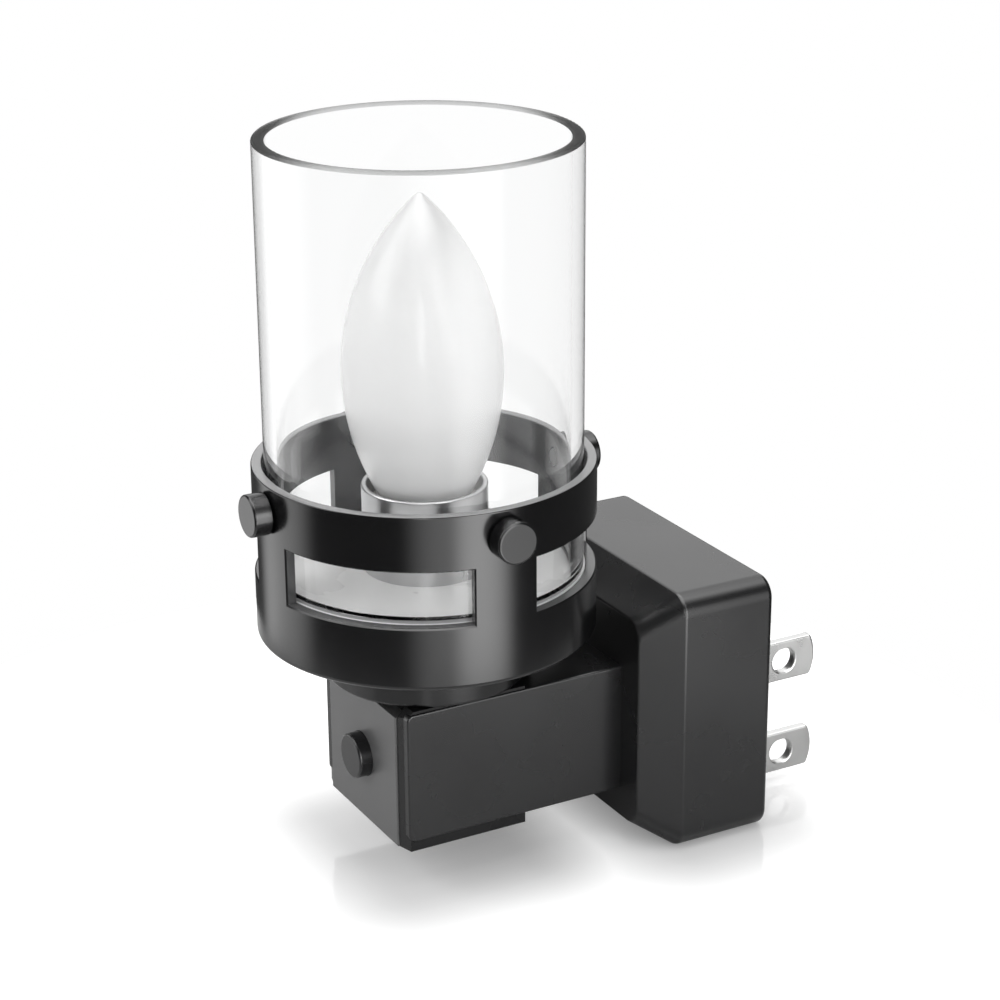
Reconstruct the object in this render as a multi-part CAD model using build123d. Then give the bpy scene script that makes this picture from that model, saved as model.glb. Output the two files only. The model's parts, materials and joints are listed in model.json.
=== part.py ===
from build123d import *
import math
import os

# Plug-in night light: a clear glass tube held in a windowed cup, an opal candle bulb,
# a short arm and a plug housing whose blades go into the wall outlet. Millimetres.
# Origin: middle of the plug's back face. +Y goes into the wall, +Z is up, the lamp is at -Y.

# Plug housing and its bevelled front cap
plug_width = 41.8
plug_height = 39.3
plug_depth = 14.7
plug_corner = 3.0
plug_wall = 1.5
plug_back = 2.5
plug_edge = 0.9
bevel_depth = 5.8
bevel_inset_x = 3.2
bevel_inset_z = 3.8
cap_wall = 1.6
cap_skirt = 1.5
lip_depth = 2.0
lip_wall = 1.2
lip_gap = 0.1

# Plug blades and the screws that close the housing
blade_width = 6.4
blade_thickness = 1.5
blade_length = 15.9
blade_tip_bulge = 0.75
blade_hole = 3.9
blade_hole_from_tip = 5.5
blade_boss_gap = 1.85
blade_wall_gap = 0.15
blade_spacing = 15.0
blade_tail = 6.0
blade_tail_width = 4.0
case_screw_head = 4.6
case_screw_head_height = 1.6
case_screw_shank = 2.4
case_screw_recess = 1.0
case_boss = 6.6
head_clearance = 0.3

# Arm between plug and lamp
arm_width = 26.3
arm_height = 19.3
arm_z = -1.85
arm_wall = 1.6
spigot_length = 2.5
spigot_step = 0.8
panel_thickness = 1.2
panel_proud = 0.2
panel_setback = 0.35
panel_corner = 1.0
panel_edge = 0.3

# Switch block under the lamp, with its front cover
block_front = 10.3
block_rear = 8.5
block_lip = 1.5
block_rise = 0.4
cheek = 2.35
cheek_bevel = 0.65
block_top_wall = 1.8
block_floor = 1.6
cover_thickness = 2.0
cover_proud = 0.3
cover_drop = 1.4
cover_edge = 0.2

# Push switch
button_diameter = 6.5
button_proud = 1.95
button_clearance = 0.06
button_edge = 0.35
button_flange = 1.2
button_flange_thickness = 0.8
button_flange_gap = 0.2
plunger_diameter = 3.0
plunger_reach = 2.2
switch_travel = 1.3
spring_length = 4.0
spring_wire = 0.36
spring_turns = 4
spring_play = 0.35
spring_seat_gap = 0.05
switch_width = 8.0
switch_depth = 8.0
switch_ear = 2.0
switch_ear_height = 6.0
switch_tab = 2.6
switch_tab_width = 2.4
switch_tab_thickness = 0.6
switch_tab_spread = 4.4

# Neck, threaded nipple and nuts
neck_diameter = 28.9
neck_height = 6.8
neck_edge = 0.5
nipple_diameter = 9.8
nipple_bore = 6.6
nipple_clearance = 0.1
nipple_tail = 0.5
nut_flats = 14.0
nut_height = 2.5

# Cup that holds the glass
glass_diameter = 44.0
glass_wall = 1.75
glass_length = 60.0
glass_clearance = 0.3
glass_edge = 0.4
cup_wall = 1.5
cup_plug_gap = 0.3
cup_height = 24.7
cup_floor = 2.0
cup_ledge = 2.0
cup_rim_edge = 0.3
cup_foot_edge = 0.7
window_sill = 9.0
window_height = 7.9
window_half_angle = 33.6
window_edge = 0.2
seat_thickness = 2.0
seat_clearance = 0.1
gasket_thickness = 0.5
gasket_inset = 0.1

# Thumb screws round the cup, with cushion tips that press on the glass
screw_drop = 3.9
screw_head = 5.9
screw_head_length = 2.7
screw_head_gap = 0.2
screw_edge = 0.35
screw_shank = 2.9
screw_clearance = 0.05
screw_tip = 2.4
screw_tip_length = 0.8
screw_sides = ("right", "rear", "left", "front")

# Lamp holder
holder_floor = 3.0
holder_height = 14.0
holder_wall = 1.1
holder_gap = 0.05
spigot_bite = 1.5
contact_diameter = 9.2
contact_plate = 0.5
contact_foot = 2.0
contact_dome = 1.2
contact_height = 1.2
contact_gap = 0.3
shell_wall = 0.6
shell_height = 10.0
shell_clearance = 0.3
shell_tab_width = 2.4
shell_tab_thickness = 0.4
sleeve_wall = 0.8
sleeve_height = 12.25
sleeve_gap = 0.1
sleeve_edge = 0.3

# Candle bulb with a small screw base
bulb_diameter = 22.2
bulb_belly = 18.6
bulb_tip = 24.8
bulb_tip_round = 0.9
bulb_glass = 0.7
base_diameter = 11.7
base_height = 7.7
base_wall = 0.4
base_insulator = 1.0
base_tip_diameter = 4.4
base_tip_height = 1.0

# Insulated wires inside the arm
wire_diameter = 1.6
wire_margin = 0.3
wire_bend = 2.0
wire_bend_share = 0.45

# Heights and planes that follow from the sizes above
bore_radius = glass_diameter / 2 + glass_clearance
cup_radius = bore_radius + cup_wall
lamp_reach = plug_depth + bevel_depth + cup_plug_gap + cup_radius
screw_step = 360 / len(screw_sides)
screw_angles = {side: place * screw_step for place, side in enumerate(screw_sides)}
arm_top = arm_z + arm_height / 2
arm_bottom = arm_z - arm_height / 2
block_top = arm_top + block_rise
block_bottom = arm_bottom - block_lip
block_half = arm_width / 2 - panel_proud
cavity_half = block_half - cheek
cover_top = block_top - cover_drop
front_y = -lamp_reach - block_front
cover_back_y = front_y + cover_thickness - cover_proud
rear_y = -lamp_reach + block_rear
case_screw_x = plug_width / 2 - bevel_inset_x - case_boss / 2
case_screw_z = plug_height / 2 - bevel_inset_z - case_boss / 2
blade_x = case_screw_x - case_boss / 2 - blade_boss_gap - blade_thickness / 2
blade_lower_z = plug_wall + blade_wall_gap + blade_width / 2 - plug_height / 2
blade_upper_z = blade_lower_z + blade_spacing
edge_y = -plug_depth
cap_back_y = edge_y + cap_skirt
cap_front_y = -plug_depth - bevel_depth
neck_top = block_top + neck_height
cup_bottom = neck_top
cup_rim = cup_bottom + cup_height
window_z = cup_bottom + window_sill
floor_top = cup_bottom + cup_floor
seat_bottom = window_z - seat_thickness
glass_bottom = window_z + gasket_thickness
screw_z = cup_rim - screw_drop
holder_bottom = floor_top + nut_height
holder_top = holder_bottom + holder_height
contact_z = holder_bottom + holder_floor
base_z = contact_z + contact_height + contact_gap
shell_z = base_z + base_tip_height + base_insulator
envelope_z = shell_z + base_height
shell_radius = base_diameter / 2 + shell_clearance
holder_bore = shell_radius + shell_wall + holder_gap
holder_radius = holder_bore + holder_wall
sleeve_bore = holder_radius + sleeve_gap
button_z = (block_bottom + cover_top) / 2
lamp_axis = Pos(0, -lamp_reach, 0)
nipple_low = block_top - block_top_wall - nut_height - nipple_tail
wire_lane = nipple_bore / 2 - wire_diameter / 2 - wire_margin
near = 0.01


def slab(x, y, z):
    """Box between pairs of limits along X, Y and Z."""
    size = [high - low for low, high in (x, y, z)]
    middle = [(high + low) / 2 for low, high in (x, y, z)]
    return Pos(*middle) * Box(*size)


def post(radius, low, high):
    """Upright cylinder on the Z axis."""
    return Pos(0, 0, (low + high) / 2) * Cylinder(radius, high - low)


def tube(outer, inner, low, high):
    """Upright tube on the Z axis."""
    return post(outer, low, high) - post(inner, low, high)


def rod_x(radius, low, high):
    """Cylinder along X."""
    return Pos((low + high) / 2, 0, 0) * Rot(0, 90, 0) * Cylinder(radius, high - low)


def rod_y(radius, low, high):
    """Cylinder along Y."""
    return Pos(0, (low + high) / 2, 0) * Rot(90, 0, 0) * Cylinder(radius, high - low)


def upright(y):
    """Plane across the Y axis, with local x and y along X and Z."""
    return Plane.XZ.offset(-y)


def rounded_tube(width, height, corner, y, back):
    """Rounded rectangle stretched from y to back along Y."""
    return extrude(upright(back) * RectangleRounded(width, height, corner), back - y)


def turned(*outline):
    """Solid of revolution about Z from (radius, height) corners."""
    face = make_face(Polyline(*[(radius, 0, height) for radius, height in outline], close=True))
    return revolve(face, Axis.Z)


def end_edges(solid, axis, place):
    """Edges whose middle lies at one place along an axis."""
    return solid.edges().filter_by_position(axis, place - near, place + near)


def plug_rear_housing():
    """Box that carries the blades, open to the front, with four screw bosses."""
    body = rounded_tube(plug_width, plug_height, plug_corner, cap_back_y, 0)
    body = fillet(end_edges(body, Axis.Y, 0), plug_edge)
    hollow = rounded_tube(plug_width - 2 * plug_wall, plug_height - 2 * plug_wall,
                          plug_corner - plug_wall, cap_back_y, -plug_back)
    body -= hollow
    for x, z in case_screw_places():
        boss = rod_y(case_boss / 2, cap_back_y + lip_depth + lip_gap, -plug_back)
        body += Pos(x, 0, z) * boss
        recess = case_screw_recess + case_screw_head_height
        body -= Pos(x, 0, z) * rod_y(case_screw_head / 2 + head_clearance, -recess, 0)
        body -= Pos(x, 0, z) * rod_y(case_screw_shank / 2, cap_back_y, 0)
    for z in blade_heights():
        body -= slab(blade_span(), (-plug_back, 0), (z - blade_width / 2, z + blade_width / 2))
    return body


def case_screw_places():
    return [(x, z) for x in (-case_screw_x, case_screw_x) for z in (-case_screw_z, case_screw_z)]


def blade_heights():
    return [blade_upper_z, blade_lower_z]


def blade_span():
    return blade_x - blade_thickness / 2, blade_x + blade_thickness / 2


def case_screws():
    """Four pan-head screws that hold the front cap to the rear housing."""
    screws = []
    for x, z in case_screw_places():
        under_head = -case_screw_recess - case_screw_head_height
        head = rod_y(case_screw_head / 2, under_head, -case_screw_recess)
        shank = rod_y(case_screw_shank / 2, edge_y - bevel_depth / 2, under_head)
        screws.append(Pos(x, 0, z) * (head + shank))
    return Compound(screws)


def plug_front_cap():
    """Bevelled cap between the rear housing and the arm, hollow, with a locating lip."""
    outer = loft([
        upright(cap_front_y) * RectangleRounded(plug_width - 2 * bevel_inset_x,
                                                plug_height - 2 * bevel_inset_z, plug_corner),
        upright(edge_y) * RectangleRounded(plug_width, plug_height, plug_corner),
    ])
    outer += rounded_tube(plug_width, plug_height, plug_corner, edge_y, cap_back_y)
    outer = fillet(end_edges(outer, Axis.Y, edge_y), plug_edge)
    outer = fillet(end_edges(outer, Axis.Y, cap_front_y), plug_edge / 2)
    inner_corner = plug_corner - plug_wall
    lip_outer = plug_wall + lip_gap
    lip_inner = lip_outer + lip_wall
    hollow = loft([
        upright(cap_front_y + cap_wall) * RectangleRounded(
            plug_width - 2 * (bevel_inset_x + plug_wall),
            plug_height - 2 * (bevel_inset_z + plug_wall), inner_corner),
        upright(cap_back_y) * RectangleRounded(
            plug_width - 2 * lip_inner, plug_height - 2 * lip_inner, inner_corner - lip_gap),
    ])
    lip = rounded_tube(plug_width - 2 * lip_outer, plug_height - 2 * lip_outer,
                       inner_corner - lip_gap, cap_back_y, cap_back_y + lip_depth)
    lip -= rounded_tube(plug_width - 2 * lip_inner, plug_height - 2 * lip_inner,
                        inner_corner - lip_gap, cap_back_y, cap_back_y + lip_depth)
    cap = outer - hollow + lip
    for x, z in case_screw_places():
        boss = rod_y(case_boss / 2, cap_front_y + cap_wall, cap_back_y + lip_depth)
        cap += Pos(x, 0, z) * boss
        cap -= Pos(x, 0, z) * rod_y(case_screw_shank / 2, edge_y - bevel_depth / 2, 0)
    doorway = arm_width / 2 - spigot_step
    return cap - slab((-doorway, doorway), (cap_front_y, cap_front_y + spigot_length),
                      (arm_bottom + spigot_step, arm_top - spigot_step))


def blade(z):
    """Flat plug blade with a rounded tip, a hole and a narrow inner tail."""
    half = blade_width / 2
    shoulder = blade_length - blade_tip_bulge
    outline = Polyline((shoulder, half), (-plug_back, half), (-plug_back, -half), (shoulder, -half))
    outline += ThreePointArc((shoulder, -half), (blade_length, 0), (shoulder, half))
    flat = make_face(outline) - Pos(blade_length - blade_hole_from_tip, 0) * Circle(blade_hole / 2)
    flat += Pos(-plug_back - blade_tail / 2, 0) * Rectangle(blade_tail, blade_tail_width)
    return Pos(blade_x - blade_thickness / 2, 0, z) * extrude(Plane.YZ * flat, blade_thickness)


def arm():
    """Square tube from the plug cap, with two side panels that run on over the switch block."""
    body = slab((-arm_width / 2, arm_width / 2), (rear_y, cap_front_y), (arm_bottom, arm_top))
    for side in (-1, 1):
        inner = side * (arm_width / 2 - panel_thickness)
        outer = side * arm_width / 2
        panel = slab(sorted((inner, outer)), (front_y + panel_setback, rear_y), (arm_bottom, arm_top))
        ends = end_edges(panel.edges().filter_by(Axis.X), Axis.Y, front_y + panel_setback)
        body += fillet(ends, panel_corner)
    rims = [edge for edge in body.edges() if abs(abs(edge.center().X) - arm_width / 2) < near]
    rims = [edge for edge in rims if abs(edge.center().Y - cap_front_y) > near]
    body = fillet(rims, panel_edge)
    spigot = arm_width / 2 - spigot_step
    body += slab((-spigot, spigot), (cap_front_y, cap_front_y + spigot_length),
                 (arm_bottom + spigot_step, arm_top - spigot_step))
    inside = arm_width / 2 - arm_wall
    return body - slab((-inside, inside), (rear_y, cap_front_y + spigot_length),
                       (arm_bottom + arm_wall, arm_top - arm_wall))


def front_block():
    """Housing under the lamp: two cheeks, a top and a floor, open to the cover and the arm."""
    side = make_face(Polyline(
        (front_y, block_bottom), (rear_y, block_bottom), (rear_y, block_top),
        (front_y + cover_drop, block_top), (front_y, cover_top), close=True))
    body = Pos(-block_half, 0, 0) * extrude(Plane.YZ * side, 2 * block_half)
    for turn in (-1, 1):
        wedge = make_face(Polyline((turn * cavity_half, front_y), (turn * block_half, front_y),
                                   (turn * block_half, front_y + cheek_bevel), close=True))
        body -= Pos(0, 0, block_bottom) * extrude(wedge, block_top - block_bottom)
    body -= slab((-cavity_half, cavity_half), (front_y, cover_back_y), (block_bottom, block_top))
    body -= slab((-cavity_half, cavity_half), (cover_back_y, rear_y),
                 (block_bottom + block_floor, block_top - block_top_wall))
    body -= lamp_axis * post(nipple_diameter / 2 + nipple_clearance, block_top - block_top_wall, block_top)
    pocket = arm_width / 2 - panel_thickness
    for side in (-1, 1):
        recess = slab(sorted((side * pocket, side * arm_width)), (front_y + panel_setback, rear_y),
                      (arm_bottom, arm_top))
        ends = end_edges(recess.edges().filter_by(Axis.X), Axis.Y, front_y + panel_setback)
        body -= fillet(ends, panel_corner)
    return body


def front_cover():
    """Plate that closes the front of the block, with the hole for the button."""
    face_y = front_y - cover_proud
    plate = slab((-cavity_half, cavity_half), (face_y, cover_back_y), (block_bottom, cover_top))
    plate = fillet(end_edges(plate, Axis.Y, face_y), cover_edge)
    return plate - Pos(0, 0, button_z) * rod_y(button_diameter / 2 + button_clearance, face_y, cover_back_y)


button_face_y = front_y - cover_proud - button_proud
flange_y = cover_back_y + button_flange_gap
flange_back_y = flange_y + button_flange_thickness
switch_y = flange_back_y + spring_length


def switch_button():
    """Push button: a cap with a retaining flange and a plunger into the switch."""
    cap = rod_y(button_diameter / 2, button_face_y, flange_y)
    cap = fillet(end_edges(cap, Axis.Y, button_face_y), button_edge)
    cap += rod_y(button_diameter / 2 + button_flange, flange_y, flange_back_y)
    cap += rod_y(plunger_diameter / 2, flange_back_y, switch_y + plunger_reach)
    return Pos(0, 0, button_z) * cap


def switch_spring():
    """Return spring round the plunger, one unbroken coil of square wire."""
    radius = plunger_diameter / 2 + spring_play + spring_wire / 2
    length = spring_length - spring_wire - 2 * spring_seat_gap
    pitch = length / spring_turns
    print("spring gap between turns", round(pitch - spring_wire, 3))
    path = Helix(pitch, length, radius)
    section = Plane(origin=path @ 0, z_dir=path % 0) * Rectangle(spring_wire, spring_wire)
    coil = sweep(section, path, is_frenet=True)
    start = flange_back_y + spring_wire / 2 + spring_seat_gap
    return Pos(0, start, button_z) * Rot(-90, 0, 0) * coil


def switch_body():
    """Latching switch held between the cheeks by its ears, with two solder tabs."""
    half = switch_width / 2
    back = switch_y + switch_depth
    body = slab((-half, half), (switch_y, back), (button_z - half, button_z + half))
    ear_y = switch_y + switch_depth / 2
    body += slab((-cavity_half, cavity_half), (ear_y, ear_y + switch_ear),
                 (button_z - switch_ear_height / 2, button_z + switch_ear_height / 2))
    for side in (-1, 1):
        x = side * switch_tab_spread / 2
        tab = (switch_tab_thickness, switch_tab, switch_tab_width)
        body += Pos(x, back + switch_tab / 2, button_z) * Box(*tab)
    well_y = switch_y + plunger_reach + 2 * switch_travel
    well = rod_y(plunger_diameter / 2 + button_clearance, switch_y, well_y)
    return body - Pos(0, 0, button_z) * well


def neck_collar():
    ring = tube(neck_diameter / 2, nipple_diameter / 2 + nipple_clearance, block_top, neck_top)
    rim = [edge for edge in end_edges(ring, Axis.Z, block_top) if edge.radius > nipple_diameter]
    return lamp_axis * fillet(rim, neck_edge)


def lamp_nipple():
    return lamp_axis * tube(nipple_diameter / 2, nipple_bore / 2, nipple_low, holder_bottom + spigot_bite)


def nipple_nuts():
    """Hexagon nuts under the block's top and on the cup's floor."""
    flat = RegularPolygon(nut_flats / 2, 6, major_radius=False) - Circle(nipple_diameter / 2)
    nut = extrude(flat, nut_height)
    low = block_top - block_top_wall - nut_height
    return Compound([lamp_axis * Pos(0, 0, z) * nut for z in (low, floor_top)])


def fitter_cup():
    """Turned cup with four windows, a ledge for the seat plate and four screw holes."""
    ledge = bore_radius - cup_ledge
    wall = turned((0, cup_bottom), (cup_radius, cup_bottom), (cup_radius, cup_rim), (bore_radius, cup_rim),
                  (bore_radius, seat_bottom), (ledge, seat_bottom), (ledge, floor_top), (0, floor_top))
    wall = fillet(end_edges(wall, Axis.Z, cup_rim), cup_rim_edge)
    wall = fillet(end_edges(wall, Axis.Z, cup_bottom), cup_foot_edge)
    wall -= post(nipple_diameter / 2 + nipple_clearance, cup_bottom, floor_top)
    reach = 2 * cup_radius
    for angle in screw_angles.values():
        middle = angle + screw_step / 2
        sides = [math.radians(middle + turn * window_half_angle) for turn in (-1, 1)]
        sector = make_face(Polyline((0, 0), *[(reach * math.cos(a), reach * math.sin(a)) for a in sides],
                                    close=True))
        wall -= Pos(0, 0, window_z) * extrude(sector, window_height)
    corners = [edge for edge in wall.edges() if window_outline(edge)]
    wall = chamfer(corners, window_edge)
    for angle in screw_angles.values():
        hole = rod_x(screw_shank / 2 + screw_clearance, 0, reach)
        wall -= Pos(0, 0, screw_z) * Rot(0, 0, angle) * hole
    return lamp_axis * wall


def window_outline(edge):
    """True for the window edges on the cup's outer wall."""
    places = [edge.position_at(share) for share in (0, 0.5, 1)]
    on_wall = all(abs(math.hypot(p.X, p.Y) - cup_radius) < near for p in places)
    inside = all(window_z - near < p.Z < window_z + window_height + near for p in places)
    return on_wall and inside


def seat_plate():
    """White plate on the cup's ledge that carries the glass and surrounds the lamp holder."""
    return lamp_axis * tube(bore_radius - seat_clearance, holder_radius + holder_gap, seat_bottom, window_z)


def shade_gasket():
    inner = glass_diameter / 2 - glass_wall + gasket_inset
    return lamp_axis * tube(glass_diameter / 2 - gasket_inset, inner, window_z, glass_bottom)


def glass_shade():
    outer = glass_diameter / 2
    wall = tube(outer, outer - glass_wall, glass_bottom, glass_bottom + glass_length)
    return lamp_axis * fillet(end_edges(wall, Axis.Z, glass_bottom + glass_length), glass_edge)


def thumb_screw(angle):
    """Plain round head and a short shank through the cup's wall."""
    under_head = cup_radius + screw_head_gap
    face = under_head + screw_head_length
    head = rod_x(screw_head / 2, under_head, face)
    head = fillet(end_edges(head, Axis.X, face), screw_edge)
    head = chamfer(end_edges(head, Axis.X, under_head), screw_edge / 2)
    shank = rod_x(screw_shank / 2, bore_radius + screw_tip_length, under_head)
    return lamp_axis * Pos(0, 0, screw_z) * Rot(0, 0, angle) * (head + shank)


def screw_cushion(angle):
    """Soft tip on the end of a thumb screw."""
    tip = rod_x(screw_tip / 2, bore_radius, bore_radius + screw_tip_length)
    return lamp_axis * Pos(0, 0, screw_z) * Rot(0, 0, angle) * tip


def lamp_holder():
    """Insulating body of the lamp holder, screwed on the nipple."""
    body = post(holder_radius, holder_bottom, holder_top) - post(holder_bore, contact_z, holder_top)
    body -= post(nipple_diameter / 2 + nipple_clearance, holder_bottom, holder_bottom + spigot_bite)
    return lamp_axis * (body - post(nipple_bore / 2, holder_bottom, contact_z))


def holder_contact():
    """Centre contact under the bulb, on a plate cut back from the neutral wire."""
    limit = wire_lane - wire_diameter / 2 - wire_margin
    plate = post(contact_diameter / 2, contact_z, contact_z + contact_plate)
    plate -= slab((limit, contact_diameter), (-contact_diameter, contact_diameter),
                  (contact_z, contact_z + contact_plate))
    foot = Pos(0, 0, contact_z + contact_plate) * Cone(contact_foot / 2, contact_dome / 2,
                                                       contact_height - contact_plate,
                                                       align=(Align.CENTER, Align.CENTER, Align.MIN))
    return lamp_axis * (plate + foot)


def holder_shell():
    """Screw shell of the lamp holder, with a tab inwards to the neutral wire."""
    low = contact_z + contact_plate
    shell = tube(shell_radius + shell_wall, shell_radius, low, low + shell_height)
    shell += slab((wire_lane - wire_diameter / 2, shell_radius + shell_wall / 2),
                  (-shell_tab_width / 2, shell_tab_width / 2), (low, low + shell_tab_thickness))
    return lamp_axis * shell


def holder_sleeve():
    """Bright tube round the lamp holder, standing on the seat plate."""
    outer = sleeve_bore + sleeve_wall
    wall = tube(outer, sleeve_bore, window_z, window_z + sleeve_height)
    return lamp_axis * fillet(end_edges(wall, Axis.Z, window_z + sleeve_height), sleeve_edge)


def candle_half(skin):
    """Half section of the candle shape, a given depth inside the glass surface."""
    neck = base_diameter / 2
    belly = bulb_diameter / 2
    belly_z = envelope_z + bulb_belly
    low_full = ((belly - neck) ** 2 + bulb_belly ** 2) / (2 * (belly - neck))
    top_full = (belly ** 2 + bulb_tip ** 2) / (2 * belly)
    low_x = belly - low_full
    top_x = belly - top_full
    low = low_full - skin
    top = top_full - skin
    rise = math.sqrt((top_full - bulb_tip_round) ** 2 - top_x ** 2)
    lean = math.atan2(rise, -top_x)
    foot_angle = math.asin(bulb_belly / low)
    foot = (low_x + low * math.cos(foot_angle), 0, envelope_z)
    low_way = (low_x + low * math.cos(foot_angle / 2), 0, belly_z - low * math.sin(foot_angle / 2))
    widest = (belly - skin, 0, belly_z)
    top_way = (top_x + top * math.cos(lean / 2), 0, belly_z + top * math.sin(lean / 2))
    shoulder = (top_x + top * math.cos(lean), 0, belly_z + top * math.sin(lean))
    tip_round = bulb_tip_round - skin
    half_lean = (lean + math.pi / 2) / 2
    tip_way = (tip_round * math.cos(half_lean), 0, belly_z + rise + tip_round * math.sin(half_lean))
    apex = (0, 0, belly_z + rise + tip_round)
    outline = Polyline(apex, (0, 0, envelope_z), foot)
    outline += ThreePointArc(foot, low_way, widest)
    outline += ThreePointArc(widest, top_way, shoulder)
    outline += ThreePointArc(shoulder, tip_way, apex)
    return make_face(outline)


def bulb_envelope():
    """Hollow opal glass candle, open at the neck."""
    return lamp_axis * (revolve(candle_half(0), Axis.Z) - revolve(candle_half(bulb_glass), Axis.Z))


def bulb_base():
    outer = base_diameter / 2
    return lamp_axis * tube(outer, outer - base_wall, shell_z, envelope_z)


def bulb_insulator():
    inner = base_diameter / 2 - base_wall
    tip = base_tip_diameter / 2
    low = base_z + base_tip_height
    return lamp_axis * turned((0, low), (tip, low), (inner, shell_z), (inner, shell_z + base_insulator),
                              (0, shell_z + base_insulator))


def bulb_tip_contact():
    tip = base_tip_diameter / 2
    return lamp_axis * turned((0, base_z), (tip / 2, base_z), (tip, base_z + base_tip_height),
                              (0, base_z + base_tip_height))


def wire(*points):
    """Insulated wire along straight runs with round bends."""
    places = [Vector(*point) for point in points]
    radii = []
    for before, corner, after in zip(places, places[1:], places[2:]):
        turn = math.radians((corner - before).get_angle(after - corner))
        run = min((corner - before).length, (after - corner).length)
        radii.append(min(wire_bend, wire_bend_share * run / math.tan(turn / 2)))
    path = FilletPolyline(*places, radius=radii)
    section = Plane(origin=path @ 0, z_dir=path % 0) * Circle(wire_diameter / 2)
    return sweep(section, path)


wire_start_y = -plug_back - blade_tail
tab_x = switch_tab_spread / 2
tab_end_y = switch_y + switch_depth + switch_tab
aisle_z = (button_z + switch_width / 2 + nipple_low) / 2
spigot_y = cap_front_y + spigot_length
doorway_x = min(blade_x, arm_width / 2 - arm_wall - wire_diameter / 2 - wire_margin)


def wire_line():
    """Upper blade to the switch."""
    return wire((blade_x, wire_start_y, blade_upper_z), (doorway_x, spigot_y, blade_upper_z),
                (tab_x, (spigot_y + tab_end_y) / 2, button_z), (tab_x, tab_end_y, button_z))


def wire_switched():
    """Switch to the centre contact, up through the nipple."""
    turn_y = tab_end_y + 2 * wire_bend
    return wire((-tab_x, tab_end_y, button_z), (-tab_x, turn_y, button_z), (-tab_x, turn_y, aisle_z),
                (-wire_lane, -lamp_reach, aisle_z), (-wire_lane, -lamp_reach, contact_z))


def wire_neutral():
    """Lower blade to the screw shell, up through the nipple."""
    lower_aisle = arm_bottom + arm_wall + wire_bend
    side_x = (doorway_x + tab_x) / 2
    return wire((blade_x, wire_start_y, blade_lower_z), (blade_x, wire_start_y - wire_bend, blade_lower_z),
                (doorway_x, spigot_y + wire_bend, lower_aisle),
                (side_x, (spigot_y + rear_y) / 2, lower_aisle),
                (side_x, rear_y + wire_bend, aisle_z), (wire_lane, -lamp_reach, aisle_z),
                (wire_lane, -lamp_reach, contact_z + contact_plate))


parts = {
    "plug_rear_housing": plug_rear_housing(),
    "plug_front_cap": plug_front_cap(),
    "case_screws": case_screws(),
    "blade_upper": blade(blade_heights()[0]),
    "blade_lower": blade(blade_heights()[1]),
    "arm": arm(),
    "front_block": front_block(),
    "front_cover": front_cover(),
    "switch_button": switch_button(),
    "switch_spring": switch_spring(),
    "switch_body": switch_body(),
    "neck_collar": neck_collar(),
    "lamp_nipple": lamp_nipple(),
    "nipple_nuts": nipple_nuts(),
    "fitter_cup": fitter_cup(),
    "seat_plate": seat_plate(),
    "shade_gasket": shade_gasket(),
    "glass_shade": glass_shade(),
    "lamp_holder": lamp_holder(),
    "holder_contact": holder_contact(),
    "holder_shell": holder_shell(),
    "holder_sleeve": holder_sleeve(),
    "bulb_envelope": bulb_envelope(),
    "bulb_base": bulb_base(),
    "bulb_insulator": bulb_insulator(),
    "bulb_tip_contact": bulb_tip_contact(),
    "wire_line": wire_line(),
    "wire_switched": wire_switched(),
    "wire_neutral": wire_neutral(),
}
for side, angle in screw_angles.items():
    parts[f"thumb_screw_{side}"] = thumb_screw(angle)
    parts[f"screw_cushion_{side}"] = screw_cushion(angle)

os.makedirs("parts", exist_ok=True)
for name, part in parts.items():
    export_step(part, f"parts/{name}.step")
print(len(parts), "nodes written")
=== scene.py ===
import bpy
import bmesh
import json
import math
from mathutils import Matrix, Vector


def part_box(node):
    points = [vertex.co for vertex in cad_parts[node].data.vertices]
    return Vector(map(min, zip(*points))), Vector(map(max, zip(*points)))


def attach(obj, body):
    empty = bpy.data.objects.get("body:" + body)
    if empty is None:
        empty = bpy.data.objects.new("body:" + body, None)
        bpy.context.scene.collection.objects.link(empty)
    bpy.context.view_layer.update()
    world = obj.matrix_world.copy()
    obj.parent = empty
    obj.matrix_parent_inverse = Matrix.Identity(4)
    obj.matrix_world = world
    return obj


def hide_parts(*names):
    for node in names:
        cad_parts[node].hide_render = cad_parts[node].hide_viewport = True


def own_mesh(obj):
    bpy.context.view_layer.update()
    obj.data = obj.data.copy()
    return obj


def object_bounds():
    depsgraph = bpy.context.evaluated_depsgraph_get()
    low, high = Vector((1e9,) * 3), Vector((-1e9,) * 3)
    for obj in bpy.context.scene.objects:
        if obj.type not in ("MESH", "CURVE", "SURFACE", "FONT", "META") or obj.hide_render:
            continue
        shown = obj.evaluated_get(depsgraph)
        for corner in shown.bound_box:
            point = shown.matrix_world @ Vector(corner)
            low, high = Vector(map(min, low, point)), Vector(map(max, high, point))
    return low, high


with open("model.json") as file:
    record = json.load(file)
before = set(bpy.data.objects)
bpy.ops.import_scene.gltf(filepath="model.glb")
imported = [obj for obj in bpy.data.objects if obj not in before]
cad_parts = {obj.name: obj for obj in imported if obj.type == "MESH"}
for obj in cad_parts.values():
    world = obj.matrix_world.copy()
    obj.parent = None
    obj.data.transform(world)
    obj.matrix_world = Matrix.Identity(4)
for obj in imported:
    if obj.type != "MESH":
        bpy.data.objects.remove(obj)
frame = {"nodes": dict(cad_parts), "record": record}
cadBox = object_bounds()
nodes = frame["nodes"]
mm = 0.001
levelOnly = (1, 1, 0)  # times a vector, this drops its upright part
shadeLow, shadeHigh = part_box("glass_shade")
cupLow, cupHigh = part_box("fitter_cup")
lampAxis = Vector(((shadeLow.x + shadeHigh.x) / 2, (shadeLow.y + shadeHigh.y) / 2, 0))
print("frame loaded,", len(nodes), "nodes")


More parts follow.
